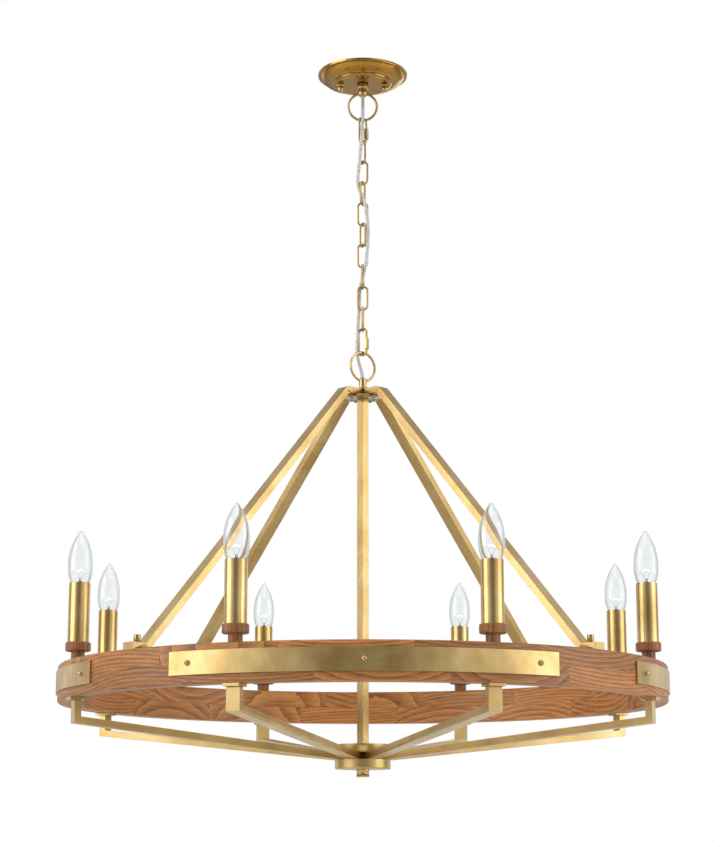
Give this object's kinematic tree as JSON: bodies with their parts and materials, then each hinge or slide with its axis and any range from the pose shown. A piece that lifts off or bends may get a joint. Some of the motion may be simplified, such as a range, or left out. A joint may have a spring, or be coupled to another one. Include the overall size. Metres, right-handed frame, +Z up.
{
  "type": "ring chandelier",
  "caption": "Wooden ring chandelier with candle lights on sloping brass arms, hung by a chain from a round ceiling canopy.",
  "frame": {"origin": "centre of the canopy's ceiling face, in the ceiling plane", "axes": "+Z up, out of the ceiling face along the chain's axis; -Y is the front seen in the picture, +X to the right; everything hangs below z = 0"},
  "size_m": [0.913, 0.913, 1.1019],
  "materials": {
    "brass": "satin",
    "steel": "zinc plated",
    "ground_green": "satin",
    "cord_jacket": "clear over silver",
    "lead_jacket": "satin",
    "splice": "satin",
    "wood": "oiled",
    "socket": "moulded",
    "bulb_glass": "clear"
  },
  "bodies": {
    "mount": {"ceiling_crossbar": "steel", "ground_screw": "ground_green", "canopy": "brass", "canopy_studs": "steel", "canopy_ball_nuts": "brass", "canopy_nipple": "steel", "nipple_locknut": "steel", "canopy_collar": "brass", "canopy_loop": "brass", "supply_cord": "cord_jacket"},
    "quick_link_top": {"quick_link_top": "brass"},
    "quick_link_top_nut": {"quick_link_top_nut": "brass"},
    "quick_link_bottom": {"quick_link_bottom": "brass"},
    "quick_link_bottom_nut": {"quick_link_bottom_nut": "brass"},
    "chain_link_1": {"chain_link_1": "brass"},
    "chain_link_2": {"chain_link_2": "brass"},
    "chain_link_3": {"chain_link_3": "brass"},
    "chain_link_4": {"chain_link_4": "brass"},
    "chain_link_5": {"chain_link_5": "brass"},
    "chain_link_6": {"chain_link_6": "brass"},
    "chain_link_7": {"chain_link_7": "brass"},
    "chain_link_8": {"chain_link_8": "brass"},
    "chain_link_9": {"chain_link_9": "brass"},
    "wheel": {"body_loop": "brass", "hub_top_plate": "brass", "hub_top_spacer": "steel", "hub_top_disc": "brass", "hub_arm_screws": "steel", "upper_arms": "brass", "foot_nuts": "brass", "foot_bolts": "steel", "stem_tube": "brass", "tie_pipe": "steel", "stem_lead": "cord_jacket", "rim_blocks": "wood", "brass_bands": "brass", "band_screws": "brass", "candle_necks": "wood", "candle_cups": "wood", "candle_nipples": "steel", "candle_sockets": "socket", "candle_sleeves": "brass", "lower_arms": "brass", "arm_plates": "brass", "arm_leads": "lead_jacket", "lead_splices": "splice", "bottom_hub_cover": "brass", "bottom_hub_spacer": "steel", "bottom_hub_pan": "brass", "finial": "brass"},
    "bulb_1": {"bulb_1": "bulb_glass"},
    "bulb_2": {"bulb_2": "bulb_glass"},
    "bulb_3": {"bulb_3": "bulb_glass"},
    "bulb_4": {"bulb_4": "bulb_glass"},
    "bulb_5": {"bulb_5": "bulb_glass"},
    "bulb_6": {"bulb_6": "bulb_glass"},
    "bulb_7": {"bulb_7": "bulb_glass"},
    "bulb_8": {"bulb_8": "bulb_glass"}
  },
  "joints": [
    {"name": "quick_link_top_swing", "type": "hinge", "parent": "mount", "child": "quick_link_top", "pos_m": [0, 0, -0.0768], "axis": [1, 0, 0], "range_deg": [-10, 10], "deforming": ["supply_cord"]},
    {"name": "chain_link_1_swing", "type": "hinge", "parent": "quick_link_top", "child": "chain_link_1", "pos_m": [0, 0, -0.11495], "axis": [0.7431, 0.6691, 0], "range_deg": [-10, 10], "deforming": ["supply_cord"]},
    {"name": "chain_link_2_swing", "type": "hinge", "parent": "chain_link_1", "child": "chain_link_2", "pos_m": [0, 0, -0.14895], "axis": [0.5, -0.866, 0], "range_deg": [-10, 10], "deforming": ["supply_cord"]},
    {"name": "chain_link_3_swing", "type": "hinge", "parent": "chain_link_2", "child": "chain_link_3", "pos_m": [0, 0, -0.18305], "axis": [1, 0, 0], "range_deg": [-10, 10], "deforming": ["supply_cord"]},
    {"name": "chain_link_4_swing", "type": "hinge", "parent": "chain_link_3", "child": "chain_link_4", "pos_m": [0, 0, -0.21715], "axis": [0.4384, 0.8988, 0], "range_deg": [-10, 10], "deforming": ["supply_cord"]},
    {"name": "chain_link_5_swing", "type": "hinge", "parent": "chain_link_4", "child": "chain_link_5", "pos_m": [0, 0, -0.25125], "axis": [1, 0, 0], "range_deg": [-10, 10], "deforming": ["supply_cord"]},
    {"name": "chain_link_6_swing", "type": "hinge", "parent": "chain_link_5", "child": "chain_link_6", "pos_m": [0, 0, -0.28535], "axis": [0.5, -0.866, 0], "range_deg": [-10, 10], "deforming": ["supply_cord"]},
    {"name": "chain_link_7_swing", "type": "hinge", "parent": "chain_link_6", "child": "chain_link_7", "pos_m": [0, 0, -0.31945], "axis": [1, 0, 0], "range_deg": [-10, 10], "deforming": ["supply_cord"]},
    {"name": "chain_link_8_swing", "type": "hinge", "parent": "chain_link_7", "child": "chain_link_8", "pos_m": [0, 0, -0.35355], "axis": [0.1736, 0.9848, 0], "range_deg": [-10, 10], "deforming": ["supply_cord"]},
    {"name": "chain_link_9_swing", "type": "hinge", "parent": "chain_link_8", "child": "chain_link_9", "pos_m": [0, 0, -0.38765], "axis": [1, 0, 0], "range_deg": [-10, 10], "deforming": ["supply_cord"]},
    {"name": "quick_link_bottom_swing", "type": "hinge", "parent": "chain_link_9", "child": "quick_link_bottom", "pos_m": [0, 0, -0.42175], "axis": [0.1045, 0.9945, 0], "range_deg": [-10, 10], "deforming": ["supply_cord"]},
    {"name": "wheel_swing", "type": "hinge", "parent": "quick_link_bottom", "child": "wheel", "pos_m": [0, 0, -0.46025], "axis": [0.788, -0.6157, 0], "range_deg": [-10, 10], "deforming": ["supply_cord"]},
    {"name": "quick_link_top_nut_travel", "type": "slide", "parent": "quick_link_top", "child": "quick_link_top_nut", "axis": [0, 0, 1], "range_m": [0, 0.009]},
    {"name": "quick_link_bottom_nut_travel", "type": "slide", "parent": "quick_link_bottom", "child": "quick_link_bottom_nut", "axis": [0, 0, 1], "range_m": [0, 0.009]},
    {"name": "bulb_1_out", "type": "slide", "parent": "wheel", "child": "bulb_1", "axis": [0, 0, 1], "range_m": [0, 0.01]},
    {"name": "bulb_2_out", "type": "slide", "parent": "wheel", "child": "bulb_2", "axis": [0, 0, 1], "range_m": [0, 0.01]},
    {"name": "bulb_3_out", "type": "slide", "parent": "wheel", "child": "bulb_3", "axis": [0, 0, 1], "range_m": [0, 0.01]},
    {"name": "bulb_4_out", "type": "slide", "parent": "wheel", "child": "bulb_4", "axis": [0, 0, 1], "range_m": [0, 0.01]},
    {"name": "bulb_5_out", "type": "slide", "parent": "wheel", "child": "bulb_5", "axis": [0, 0, 1], "range_m": [0, 0.01]},
    {"name": "bulb_6_out", "type": "slide", "parent": "wheel", "child": "bulb_6", "axis": [0, 0, 1], "range_m": [0, 0.01]},
    {"name": "bulb_7_out", "type": "slide", "parent": "wheel", "child": "bulb_7", "axis": [0, 0, 1], "range_m": [0, 0.01]},
    {"name": "bulb_8_out", "type": "slide", "parent": "wheel", "child": "bulb_8", "axis": [0, 0, 1], "range_m": [0, 0.01]}
  ]
}
